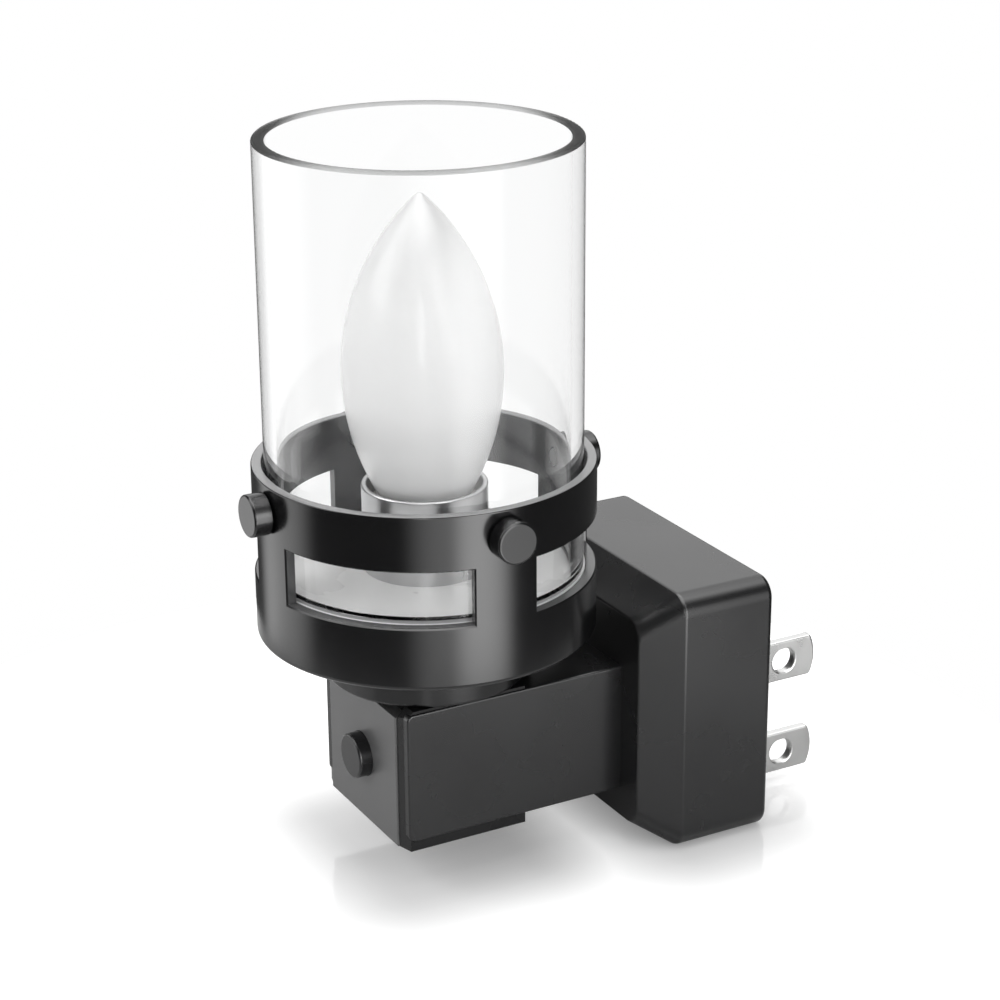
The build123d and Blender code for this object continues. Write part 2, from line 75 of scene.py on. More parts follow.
# small helpers for node trees
def addNode(tree, kind, at=(0, 0), **values):
    node = tree.nodes.new(kind)
    node.location = at
    for key, value in values.items():
        setattr(node, key, value)
    return node


def link(tree, a, b):
    tree.links.new(a, b)


def newMaterial(name):
    material = bpy.data.materials.new(name)
    material.use_nodes = True
    tree = material.node_tree
    shader = next(n for n in tree.nodes if n.type == "BSDF_PRINCIPLED")
    return material, tree, shader


def newGroup(name, kind, inputs, outputs):
    group = bpy.data.node_groups.new(name, kind)
    for label, socketKind, value in inputs:
        socket = group.interface.new_socket(name=label, in_out="INPUT", socket_type=socketKind)
        if value is not None:
            socket.default_value = value
    for label, socketKind in outputs:
        group.interface.new_socket(name=label, in_out="OUTPUT", socket_type=socketKind)
    return group, addNode(group, "NodeGroupInput", (-1200, 0)), addNode(group, "NodeGroupOutput", (900, 0))


# a soft step from low to high while its value goes from start to end
def addFade(tree, at, start=0, end=1, low=0, high=1):
    node = addNode(tree, "ShaderNodeMapRange", at, interpolation_type="SMOOTHSTEP")
    for label, value in (("From Min", start), ("From Max", end), ("To Min", low), ("To Max", high)):
        node.inputs[label].default_value = value
    return node


# fine grain of a moulded or sprayed surface: a roughness that drifts, and a height for the bump
grainRules = dict(fineDetail=3.0, driftDetail=4.0, driftSpan=(0.3, 0.7), bumpDepth=0.02 * mm)


def makeGrainGroup():
    group, source, sink = newGroup(
        "surfaceGrain", "ShaderNodeTree",
        [("Coordinates", "NodeSocketVector", None), ("Grain scale", "NodeSocketFloat", 2400.0),
         ("Drift scale", "NodeSocketFloat", 60.0), ("Roughness low", "NodeSocketFloat", 0.35),
         ("Roughness high", "NodeSocketFloat", 0.45)],
        [("Roughness", "NodeSocketFloat"), ("Height", "NodeSocketFloat"), ("Drift", "NodeSocketFloat")])
    grain = addNode(group, "ShaderNodeTexNoise", (-600, 200))
    grain.inputs["Detail"].default_value = grainRules["fineDetail"]
    drift = addNode(group, "ShaderNodeTexNoise", (-600, -100))
    drift.inputs["Detail"].default_value = grainRules["driftDetail"]
    spread = addNode(group, "ShaderNodeMapRange", (-300, -100))
    spread.inputs["From Min"].default_value, spread.inputs["From Max"].default_value = grainRules["driftSpan"]
    link(group, source.outputs["Coordinates"], grain.inputs["Vector"])
    link(group, source.outputs["Coordinates"], drift.inputs["Vector"])
    link(group, source.outputs["Grain scale"], grain.inputs["Scale"])
    link(group, source.outputs["Drift scale"], drift.inputs["Scale"])
    link(group, drift.outputs["Fac"], spread.inputs["Value"])
    link(group, source.outputs["Roughness low"], spread.inputs["To Min"])
    link(group, source.outputs["Roughness high"], spread.inputs["To Max"])
    link(group, spread.outputs["Result"], sink.inputs["Roughness"])
    link(group, grain.outputs["Fac"], sink.inputs["Height"])
    link(group, drift.outputs["Fac"], sink.inputs["Drift"])
    return group


grainGroup = makeGrainGroup()


def addGrain(tree, look):
    coords = addNode(tree, "ShaderNodeTexCoord", (-1100, 0))
    grain = addNode(tree, "ShaderNodeGroup", (-850, 0), node_tree=grainGroup)
    link(tree, coords.outputs["Object"], grain.inputs["Coordinates"])
    grain.inputs["Grain scale"].default_value = look["grainScale"]
    grain.inputs["Drift scale"].default_value = look["driftScale"]
    grain.inputs["Roughness low"].default_value = look["roughness"][0]
    grain.inputs["Roughness high"].default_value = look["roughness"][1]
    return coords, grain


def addTint(tree, grain, look, at):
    tint = addNode(tree, "ShaderNodeMix", at, data_type="RGBA")
    tint.inputs["A"].default_value = (*look["dark"], 1)
    tint.inputs["B"].default_value = (*look["light"], 1)
    link(tree, grain.outputs["Drift"], tint.inputs["Factor"])
    return tint.outputs["Result"]


# painted light inside a turned piece: a lighter colour on its walls deeper than its outer skin, and a painted
# highlight along the crest of its rim
def addPaintedInsideAndRimHighlight(tree, coords, grain, outer, look):
    shift, level, reach = (addNode(tree, "ShaderNodeVectorMath", (-900 + 200 * i, 500), operation=kind)
                           for i, kind in enumerate(("SUBTRACT", "MULTIPLY", "LENGTH")))
    shift.inputs[1].default_value = lampAxis
    level.inputs[1].default_value = levelOnly
    place = addNode(tree, "ShaderNodeSeparateXYZ", (-500, 750))
    skinEnd = look["radius"] - look["skin"]
    rimHighlightStart = look["top"] - look["rimHighlightDepth"]
    # painted light: the walls inside the outer skin take the lighter colour
    insideLightMask = addFade(tree, (-300, 500), skinEnd - look["fade"], skinEnd, 1, 0)
    rimHighlightMask = addFade(tree, (-300, 750), rimHighlightStart, rimHighlightStart + look["rimHighlightFade"])
    colour = addNode(tree, "ShaderNodeMix", (-150, 350), data_type="RGBA")
    rimHighlight = addNode(tree, "ShaderNodeMix", (0, 350), data_type="RGBA")
    rimHighlight.inputs["B"].default_value = (*look["rimHighlight"], 1)
    link(tree, coords.outputs["Object"], shift.inputs[0])
    link(tree, shift.outputs["Vector"], level.inputs[0])
    link(tree, level.outputs["Vector"], reach.inputs[0])
    link(tree, reach.outputs["Value"], insideLightMask.inputs["Value"])
    link(tree, coords.outputs["Object"], place.inputs["Vector"])
    link(tree, place.outputs["Z"], rimHighlightMask.inputs["Value"])
    link(tree, insideLightMask.outputs["Result"], colour.inputs["Factor"])
    link(tree, outer, colour.inputs["A"])
    link(tree, addTint(tree, grain, look, (-500, 50)), colour.inputs["B"])
    link(tree, rimHighlightMask.outputs["Result"], rimHighlight.inputs["Factor"])
    link(tree, colour.outputs["Result"], rimHighlight.inputs["A"])
    return rimHighlight.outputs["Result"]


plainLook = dict(metallic=0.0, specular=0.5, transmission=0.0, ior=1.5)


def grainyMaterial(name, changes):
    look = {**plainLook, **changes}
    material, tree, shader = newMaterial(name)
    coords, grain = addGrain(tree, look)
    colour = addTint(tree, grain, look, (-500, 250))
    if "inside" in look:
        colour = addPaintedInsideAndRimHighlight(tree, coords, grain, colour, look["inside"])
    link(tree, colour, shader.inputs["Base Color"])
    link(tree, grain.outputs["Roughness"], shader.inputs["Roughness"])
    bump = addNode(tree, "ShaderNodeBump", (-300, -300))
    bump.inputs["Strength"].default_value = look["bump"]
    bump.inputs["Distance"].default_value = grainRules["bumpDepth"]
    link(tree, grain.outputs["Height"], bump.inputs["Height"])
    link(tree, bump.outputs["Normal"], shader.inputs["Normal"])
    shader.inputs["Metallic"].default_value = look["metallic"]
    shader.inputs["Specular IOR Level"].default_value = look["specular"]
    shader.inputs["Transmission Weight"].default_value = look["transmission"]
    shader.inputs["IOR"].default_value = look["ior"]
    return material


looks = {
    "blackPlastic": dict(dark=(0.010, 0.010, 0.0105), light=(0.014, 0.014, 0.0145), roughness=(0.24, 0.3),
                         grainScale=2600.0, driftScale=70.0, bump=0.02),
    # the block's plastic is a darker copy of the black plastic, painted shade, and the front cover's a much
    # lighter copy, painted light
    "blockPlasticPaintedShade": dict(dark=(0.007, 0.007, 0.0073), light=(0.010, 0.010, 0.0105), roughness=(0.24, 0.3),
                         grainScale=2600.0, driftScale=70.0, bump=0.02, specular=0.25),
    "coverPlasticPaintedLight": dict(dark=(0.094, 0.094, 0.095), light=(0.106, 0.106, 0.107), roughness=(0.26, 0.34),
                         grainScale=2600.0, driftScale=70.0, bump=0.03, specular=0.75),
    "blackMetal": dict(dark=(0.005, 0.005, 0.0053), light=(0.008, 0.008, 0.0085), roughness=(0.17, 0.22),
                       grainScale=3200.0, driftScale=80.0, bump=0.02),
    "blackGloss": dict(dark=(0.012, 0.012, 0.0125), light=(0.018, 0.018, 0.019), roughness=(0.2, 0.27),
                       grainScale=3000.0, driftScale=120.0, bump=0.05),
    "bladeMetal": dict(dark=(0.5, 0.5, 0.495), light=(0.6, 0.6, 0.595), roughness=(0.24, 0.34), metallic=1.0,
                       grainScale=1800.0, driftScale=160.0, bump=0.1),
    "zincSteel": dict(dark=(0.45, 0.45, 0.46), light=(0.58, 0.58, 0.59), roughness=(0.26, 0.4), metallic=1.0,
                      grainScale=2000.0, driftScale=200.0, bump=0.2),
    "plainBrass": dict(dark=(0.66, 0.46, 0.18), light=(0.78, 0.58, 0.27), roughness=(0.22, 0.36),
                       grainScale=1800.0, driftScale=150.0, bump=0.1, metallic=1.0),
    "whitePlastic": dict(dark=(0.9, 0.9, 0.895), light=(0.94, 0.94, 0.935), roughness=(0.25, 0.35),
                         grainScale=2500.0, driftScale=90.0, bump=0.1),
    "holderPlastic": dict(dark=(0.72, 0.71, 0.68), light=(0.8, 0.79, 0.76), roughness=(0.4, 0.55),
                          grainScale=2200.0, driftScale=120.0, bump=0.3),
    "silicone": dict(dark=(0.55, 0.55, 0.56), light=(0.65, 0.65, 0.66), roughness=(0.45, 0.6),
                     grainScale=2000.0, driftScale=200.0, bump=0.2, transmission=0.5, ior=1.41),
    "brightSleeve": dict(dark=(0.5, 0.5, 0.505), light=(0.58, 0.58, 0.585), roughness=(0.26, 0.34),
                         grainScale=2600.0, driftScale=90.0, bump=0.03, metallic=1.0),
    "baseMetal": dict(dark=(0.62, 0.615, 0.6), light=(0.74, 0.735, 0.72), roughness=(0.2, 0.32), metallic=1.0,
                      grainScale=1600.0, driftScale=200.0, bump=0.12),
    "baseInsulation": dict(dark=(0.02, 0.02, 0.024), light=(0.04, 0.04, 0.045), roughness=(0.12, 0.2),
                           grainScale=2400.0, driftScale=200.0, bump=0.1),
    "wireBlack": dict(dark=(0.02, 0.02, 0.02), light=(0.03, 0.03, 0.03), roughness=(0.45, 0.6),
                      grainScale=2500.0, driftScale=150.0, bump=0.2),
    "wireWhite": dict(dark=(0.74, 0.74, 0.72), light=(0.82, 0.82, 0.8), roughness=(0.45, 0.6),
                      grainScale=2500.0, driftScale=150.0, bump=0.2),
}
# the cup's lighter inner walls are painted light, and the pale crest of its rim is a painted highlight
looks["cupMetal"] = dict(looks["blackMetal"], inside=dict(
    dark=(0.08, 0.08, 0.082), light=(0.1, 0.1, 0.102), radius=(cupHigh.x - cupLow.x) / 2, skin=0.15 * mm,
    fade=0.1 * mm, top=cupHigh.z, rimHighlight=(0.28, 0.28, 0.283), rimHighlightDepth=0.1 * mm, rimHighlightFade=0.05 * mm))
finishes = {name: grainyMaterial(name, look) for name, look in looks.items()}


# clear glass of the shade: painted shade that greys it towards its silhouette as the camera sees it, and a
# ground rim at the top
shadeGlass = dict(clear=(0.99, 0.992, 0.992, 1), edge=(0.3, 0.3, 0.3, 1), edgeFrom=0.8, edgeTo=0.98, ior=1.33,
                  rim=(0.5, 0.5, 0.5, 1), rimDepth=0.42 * mm, rimFade=0.12 * mm, rimRoughness=0.95,
                  roughness=(0.0, 0.012), grainScale=2400.0, driftScale=35.0)


def makeClearGlass():
    look = shadeGlass
    material, tree, shader = newMaterial("clearGlass")
    coords, grain = addGrain(tree, look)
    turned = addNode(tree, "ShaderNodeLayerWeight", (-850, 400))
    edge = addFade(tree, (-650, 400), look["edgeFrom"], look["edgeTo"])
    path = addNode(tree, "ShaderNodeLightPath", (-850, 700))
    first = addNode(tree, "ShaderNodeMath", (-550, 600), operation="MULTIPLY")
    body = addNode(tree, "ShaderNodeMix", (-450, 400), data_type="RGBA")
    body.inputs["A"].default_value = look["clear"]
    body.inputs["B"].default_value = look["edge"]
    place = addNode(tree, "ShaderNodeSeparateXYZ", (-850, -300))
    rimStart = shadeHigh.z - look["rimDepth"]
    ground = addFade(tree, (-650, -300), rimStart, rimStart + look["rimFade"])
    colour = addNode(tree, "ShaderNodeMix", (-250, 300), data_type="RGBA")
    colour.inputs["B"].default_value = look["rim"]
    rough = addNode(tree, "ShaderNodeMix", (-250, -100), data_type="FLOAT")
    rough.inputs["B"].default_value = look["rimRoughness"]
    # painted shade: to the camera the glass turns grey towards its silhouette
    link(tree, turned.outputs["Facing"], edge.inputs["Value"])
    link(tree, edge.outputs["Result"], first.inputs[0])
    link(tree, path.outputs["Is Camera Ray"], first.inputs[1])
    link(tree, first.outputs["Value"], body.inputs["Factor"])
    link(tree, coords.outputs["Object"], place.inputs["Vector"])
    link(tree, place.outputs["Z"], ground.inputs["Value"])
    link(tree, ground.outputs["Result"], colour.inputs["Factor"])
    link(tree, body.outputs["Result"], colour.inputs["A"])
    link(tree, colour.outputs["Result"], shader.inputs["Base Color"])
    link(tree, ground.outputs["Result"], rough.inputs["Factor"])
    link(tree, grain.outputs["Roughness"], rough.inputs["A"])
    link(tree, rough.outputs["Result"], shader.inputs["Roughness"])
    shader.inputs["Transmission Weight"].default_value = 1.0
    shader.inputs["IOR"].default_value = look["ior"]
    return material


# opal glass of the bulb, a little darker towards its tip: painted shade against the stronger light there
opalLook = dict(foot=(0.96, 0.96, 0.96, 1), tip=(0.76, 0.76, 0.76, 1), roughness=(0.2, 0.26),
                grainScale=1500.0, driftScale=70.0, subsurface=0.15, scatter=3 * mm, specular=0.5)


def makeOpalGlass():
    look = opalLook
    material, tree, shader = newMaterial("opalGlass")
    coords, grain = addGrain(tree, look)
    place = addNode(tree, "ShaderNodeSeparateXYZ", (-850, 300))
    low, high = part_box("bulb_envelope")
    climb = addFade(tree, (-650, 300), low.z, high.z)
    colour = addNode(tree, "ShaderNodeMix", (-450, 300), data_type="RGBA")
    colour.inputs["A"].default_value = look["foot"]
    colour.inputs["B"].default_value = look["tip"]
    link(tree, coords.outputs["Object"], place.inputs["Vector"])
    link(tree, place.outputs["Z"], climb.inputs["Value"])
    link(tree, climb.outputs["Result"], colour.inputs["Factor"])
    link(tree, colour.outputs["Result"], shader.inputs["Base Color"])
    link(tree, grain.outputs["Roughness"], shader.inputs["Roughness"])
    shader.inputs["Specular IOR Level"].default_value = look["specular"]
    shader.inputs["Subsurface Weight"].default_value = look["subsurface"]
    shader.inputs["Subsurface Radius"].default_value = [look["scatter"]] * 3
    shader.inputs["Subsurface Scale"].default_value = 1.0
    return material


finishes["clearGlass"] = makeClearGlass()
finishes["opalGlass"] = makeOpalGlass()

# the finish of each of the record's slots, and of the nodes that differ from their slot
slotFinish = {
    "black_plastic": "blackPlastic", "black_gloss": "blackGloss", "black_metal": "blackMetal",
    "blade_metal": "bladeMetal", "steel": "zincSteel", "brass": "plainBrass", "white_plastic": "whitePlastic",
    "holder_plastic": "holderPlastic", "silicone": "silicone", "clear_glass": "clearGlass",
    "bright_sleeve": "brightSleeve", "opal_glass": "opalGlass", "base_metal": "baseMetal",
    "base_insulation": "baseInsulation", "wire_black": "wireBlack", "wire_white": "wireWhite",
}
nodeFinish = {"front_cover": "coverPlasticPaintedLight", "front_block": "blockPlasticPaintedShade", "fitter_cup": "cupMetal"}
nodeSlot = {part["node"]: part["material_slot"] for part in frame["record"]["subparts"]}
for name, slot in nodeSlot.items():
    holder = nodes[name]
    holder.data.materials.clear()
    holder.data.materials.append(finishes[nodeFinish.get(name, slotFinish[slot])])
print("materials set")


# turns a piece with live modifiers into a plain mesh
def settle(piece):
    graph = bpy.context.evaluated_depsgraph_get()
    mesh = bpy.data.meshes.new_from_object(piece.evaluated_get(graph))
    piece.modifiers.clear()
    piece.data = mesh


sharpFrom = math.radians(38)


def smoothPiece(piece):
    piece.data.shade_smooth()
    piece.data.set_sharp_from_angle(angle=sharpFrom)


def finishPiece(piece, body, replaced):
    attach(piece, body)
    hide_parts(*replaced)


# merged copies of the casings and blades with their hard edges rounded over
edgeRounds = {
    "front_block": dict(piece="blockCasing", width=0.22 * mm, segments=3),
    "arm": dict(piece="armCasing", width=0.25 * mm, segments=3),
    "plug_front_cap": dict(piece="plugCap", width=0.3 * mm, segments=3),
    "plug_rear_housing": dict(piece="plugHousing", width=0.3 * mm, segments=3),
    "blade_upper": dict(piece="bladeUpper", width=0.3 * mm, segments=3),
    "blade_lower": dict(piece="bladeLower", width=0.3 * mm, segments=3),
}
mergeGap = 0.002 * mm
flatWithin = math.radians(0.5)
roundFrom = math.radians(30)
# where the plug's two shells meet flush, with no round
seam = dict(y=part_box("plug_rear_housing")[0].y, near=0.05 * mm)


def mergedCopy(node, name, flatten):
    work = bmesh.new()
    work.from_mesh(nodes[node].data)
    bmesh.ops.remove_doubles(work, verts=work.verts, dist=mergeGap)
    if flatten:
        bmesh.ops.dissolve_limit(work, angle_limit=flatWithin, verts=work.verts, edges=work.edges)
        bmesh.ops.connect_verts_concave(work, faces=work.faces)
    mesh = bpy.data.meshes.new(name)
    work.verts.index_update()
    mesh.from_pydata([v.co.copy() for v in work.verts], [],
                     [[v.index for v in face.verts] for face in work.faces])
    work.free()
    mesh.materials.append(nodes[node].data.materials[0])
    piece = bpy.data.objects.new(name, mesh)
    bpy.context.collection.objects.link(piece)
    return piece


def markRounds(mesh):
    work = bmesh.new()
    work.from_mesh(mesh)
    weight = work.edges.layers.float.new("bevel_weight_edge")
    for edge in work.edges:
        flush = all(abs(v.co.y - seam["y"]) < seam["near"] for v in edge.verts)
        if edge.is_manifold and edge.calc_face_angle() > roundFrom and not flush:
            edge[weight] = 1
    work.to_mesh(mesh)
    work.free()


# every corner takes the normal of the largest plane at its point, so flats stay flat beside their rounds:
# same joins planes, side leaves out what faces elsewhere, and lead is how much larger one has to be
flatRules = dict(same=math.cos(math.radians(2)), side=0.5, lead=4.0, sliver=1e-4 * mm * mm, step=0.02 * mm,
                 digits=2)


def leadNormal(faces):
    planes = []
    for normal, area in faces:
        if not any(known.dot(normal) > flatRules["same"] for known, size in planes):
            planes.append((normal, area))
    planes.sort(key=lambda p: -p[1])
    if len(planes) > 1 and planes[0][1] < flatRules["lead"] * planes[1][1]:
        return sum((normal * area for normal, area in planes), Vector((0, 0, 0))).normalized()
    return planes[0][0]


def setFlatNormals(mesh):
    planes = {}
    keys = []
    for face in mesh.polygons:
        height = round(face.normal.dot(face.center) / flatRules["step"])
        keys.append((*(round(c, flatRules["digits"]) + 0.0 for c in face.normal), height))
        planes[keys[-1]] = planes.get(keys[-1], 0) + face.area
    sides = [(face.normal.copy(), planes[key]) for face, key in zip(mesh.polygons, keys)]
    around = [[] for vertex in mesh.vertices]
    for face, side in zip(mesh.polygons, sides):
        for vertex in face.vertices:
            around[vertex].append(side)
    normals = [None] * len(mesh.loops)
    for face, (normal, size) in zip(mesh.polygons, sides):
        for loop, vertex in zip(face.loop_indices, face.vertices):
            near = sorted(around[vertex], key=lambda side: -side[1])
            if face.area > flatRules["sliver"]:
                near = [side for side in near if side[0].dot(normal) > flatRules["side"]]
            normals[loop] = leadNormal(near)
    mesh.normals_split_custom_set(normals)


def roundedCopy(node, settings):
    piece = mergedCopy(node, settings["piece"], True)
    markRounds(piece.data)
    bevel = piece.modifiers.new("roundEdges", "BEVEL")
    bevel.width = settings["width"]
    bevel.segments = settings["segments"]
    bevel.limit_method = "WEIGHT"
    settle(piece)
    piece.data.shade_smooth()
    setFlatNormals(piece.data)
    finishPiece(piece, "base", [node])


for node, settings in edgeRounds.items():
    roundedCopy(node, settings)
print("rounded casings and blades made")


# merged copies of the turned pieces, whose upright walls get exact radial normals so that no seam shows
turnedCopies = {
    "fitter_cup": dict(piece="cupShell", body="base"),
    "neck_collar": dict(piece="neckRing", body="base"),
    "holder_sleeve": dict(piece="sleeveTube", body="base"),
    "glass_shade": dict(piece="shadeTube", body="shade"),
}
uprightLean = 0.01  # most that an upright wall's normal may rise
radialShare = math.cos(math.radians(4))


def setRadialNormals(mesh):
    normals = [corner.vector.copy() for corner in mesh.corner_normals]
    for face in mesh.polygons:
        out = (face.center - lampAxis) * Vector(levelOnly)
        facing = face.normal.dot(out.normalized())
        if abs(face.normal.z) > uprightLean or abs(facing) < radialShare:
            continue
        for loop in face.loop_indices:
            corner = mesh.vertices[mesh.loops[loop].vertex_index].co - lampAxis
            normals[loop] = (corner * Vector(levelOnly)).normalized() * math.copysign(1, facing)
    mesh.normals_split_custom_set(normals)


for node, settings in turnedCopies.items():
    piece = mergedCopy(node, settings["piece"], False)
    smoothPiece(piece)
    setRadialNormals(piece.data)
    finishPiece(piece, settings["body"], [node])
print("turned pieces made")


# the switch's return spring, as a merged copy with a mesh of its own
springSettings = dict(node="switch_spring", piece="returnSpring", joint="button_press")


def makeSpring(settings):
    piece = mergedCopy(settings["node"], settings["piece"], False)
    smoothPiece(piece)
    finishPiece(piece, "base", [settings["node"]])
    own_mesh(piece)


makeSpring(springSettings)
print("return spring made")


# a piece made by a Geometry Nodes tree: an empty mesh, the tree on it and its named sizes
def treePiece(name, tree, values):
    piece = bpy.data.objects.new(name, bpy.data.meshes.new(name))
    bpy.context.collection.objects.link(piece)
    modifier = piece.modifiers.new("tree", "NODES")
    modifier.node_group = tree
    sockets = {item.name: item.identifier for item in tree.interface.items_tree
               if item.item_type == "SOCKET" and item.in_out == "INPUT"}
    for label, value in values.items():
        modifier[sockets[label]] = value
    return piece


# rolled thread: a tube whose radius rises and falls along a helix, plain near both ends
threadShape = dict(pitch=2.5 * mm, fadeFrom=0.4)  # the thread fades in from this share of the plain end


def makeThreadTree():
    tree, source, sink = newGroup(
        "rolledThread", "GeometryNodeTree",
        [("Sides", "NodeSocketInt", 96), ("Rings", "NodeSocketInt", 60),
         ("Radius", "NodeSocketFloat", 5 * mm), ("Height", "NodeSocketFloat", 8 * mm),
         ("Depth", "NodeSocketFloat", 0.5 * mm),
         ("Pitch", "NodeSocketFloat", threadShape["pitch"]), ("Plain end", "NodeSocketFloat", 1 * mm),
         ("Place", "NodeSocketVector", None), ("Finish", "NodeSocketMaterial", None)],
        [("Geometry", "NodeSocketGeometry")])
    tube = addNode(tree, "GeometryNodeMeshCylinder", (-900, 300), fill_type="NONE")
    link(tree, source.outputs["Sides"], tube.inputs["Vertices"])
    link(tree, source.outputs["Rings"], tube.inputs["Side Segments"])
    link(tree, source.outputs["Radius"], tube.inputs["Radius"])
    link(tree, source.outputs["Height"], tube.inputs["Depth"])

    def calculate(operation, a, b=None, at=(0, 0)):
        node = addNode(tree, "ShaderNodeMath", at, operation=operation)
        for socket, value in zip(node.inputs, (a, b)):
            if isinstance(value, (int, float)):
                socket.default_value = value
            elif value is not None:
                link(tree, value, socket)
        return node.outputs["Value"]

    position = addNode(tree, "GeometryNodeInputPosition", (-1000, -200))
    split = addNode(tree, "ShaderNodeSeparateXYZ", (-850, -200))
    link(tree, position.outputs["Position"], split.inputs["Vector"])
    x, y, z = (split.outputs[axis] for axis in "XYZ")
    turn = calculate("ARCTAN2", y, x, (-650, -100))
    climb = calculate("DIVIDE", z, source.outputs["Pitch"], (-650, -250))
    wound = calculate("MULTIPLY", climb, 2 * math.pi, (-500, -250))
    phase = calculate("SUBTRACT", wound, turn, (-350, -200))
    wave = calculate("SUBTRACT", calculate("COSINE", phase, None, (-200, -200)), 1, (-50, -200))
    half = calculate("MULTIPLY", source.outputs["Height"], 0.5, (-650, -450))
    inset = calculate("SUBTRACT", half, calculate("ABSOLUTE", z, None, (-500, -450)), (-350, -450))
    fade = addFade(tree, (-200, -450))
    fadeStart = calculate("MULTIPLY", source.outputs["Plain end"], threadShape["fadeFrom"], (-400, -600))
    link(tree, inset, fade.inputs["Value"])
    link(tree, fadeStart, fade.inputs["From Min"])
    link(tree, source.outputs["Plain end"], fade.inputs["From Max"])
    halfDepth = calculate("MULTIPLY", source.outputs["Depth"], 0.5, (-50, -350))
    sunk = calculate("MULTIPLY", wave, halfDepth, (100, -250))
    shift = calculate("MULTIPLY", sunk, fade.outputs["Result"], (250, -300))
    outward = addNode(tree, "ShaderNodeVectorMath", (-200, 50), operation="MULTIPLY")
    outward.inputs[1].default_value = levelOnly
    unit = addNode(tree, "ShaderNodeVectorMath", (0, 50), operation="NORMALIZE")
    offset = addNode(tree, "ShaderNodeVectorMath", (400, 0), operation="SCALE")
    link(tree, position.outputs["Position"], outward.inputs[0])
    link(tree, outward.outputs["Vector"], unit.inputs[0])
    link(tree, unit.outputs["Vector"], offset.inputs[0])
    link(tree, shift, offset.inputs["Scale"])
    shape = addNode(tree, "GeometryNodeSetPosition", (450, 300))
    move = addNode(tree, "GeometryNodeTransform", (600, 300))
    real = addNode(tree, "GeometryNodeRealizeInstances", (700, 300))
    paint = addNode(tree, "GeometryNodeSetMaterial", (800, 300))
    link(tree, tube.outputs["Mesh"], shape.inputs["Geometry"])
    link(tree, offset.outputs["Vector"], shape.inputs["Offset"])
    link(tree, shape.outputs["Geometry"], move.inputs["Geometry"])
    link(tree, source.outputs["Place"], move.inputs["Translation"])
    link(tree, move.outputs["Geometry"], real.inputs["Geometry"])
    link(tree, real.outputs["Geometry"], paint.inputs["Geometry"])
    link(tree, source.outputs["Finish"], paint.inputs["Material"])
    link(tree, paint.outputs["Geometry"], sink.inputs["Geometry"])
    return tree


threadTree = makeThreadTree()
# the radius is added to the node's own outer radius, and grow says which way the wall thickens
threads = {
    "bulb_base": dict(piece="bulbBaseThread", body="bulb", depth=0.55 * mm, wall=0.3 * mm,
                      plainEnd=1.3 * mm, radius=0.0, grow=-1),
    "holder_shell": dict(piece="holderShellThread", body="base", depth=0.55 * mm, wall=0.4 * mm,
                         plainEnd=0.8 * mm, radius=-0.6 * mm, grow=1),
}


def makeThread(node, settings):
    low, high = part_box(node)
    radius = (high.y - low.y) / 2 + settings["radius"]
    height = high.z - low.z
    piece = treePiece(settings["piece"], threadTree, {
        "Radius": radius, "Height": height, "Depth": settings["depth"], "Pitch": threadShape["pitch"],
        "Plain end": settings["plainEnd"], "Place": (lampAxis.x, lampAxis.y, (low.z + high.z) / 2),
        "Finish": finishes[slotFinish[nodeSlot[node]]]})
    wall = piece.modifiers.new("wall", "SOLIDIFY")
    wall.thickness = settings["wall"]
    wall.offset = settings["grow"]
    settle(piece)
    smoothPiece(piece)
    finishPiece(piece, settings["body"], [node])


for node, settings in threads.items():
    makeThread(node, settings)
print("threads made")


# case screws in the back of the plug: pan heads with a cross recess, on a grid of four points;
# crown, cross length and cross width are shares of the head's radius
caseScrew = dict(headRadius=2.3 * mm, headHeight=1.6 * mm, shankRadius=1.2 * mm, sides=40, crown=0.75,
                 crownShare=0.35, crownSink=0.98, shankSink=0.48, crossLength=0.62, crossWidth=0.17,
                 crossDepth=0.9 * mm)


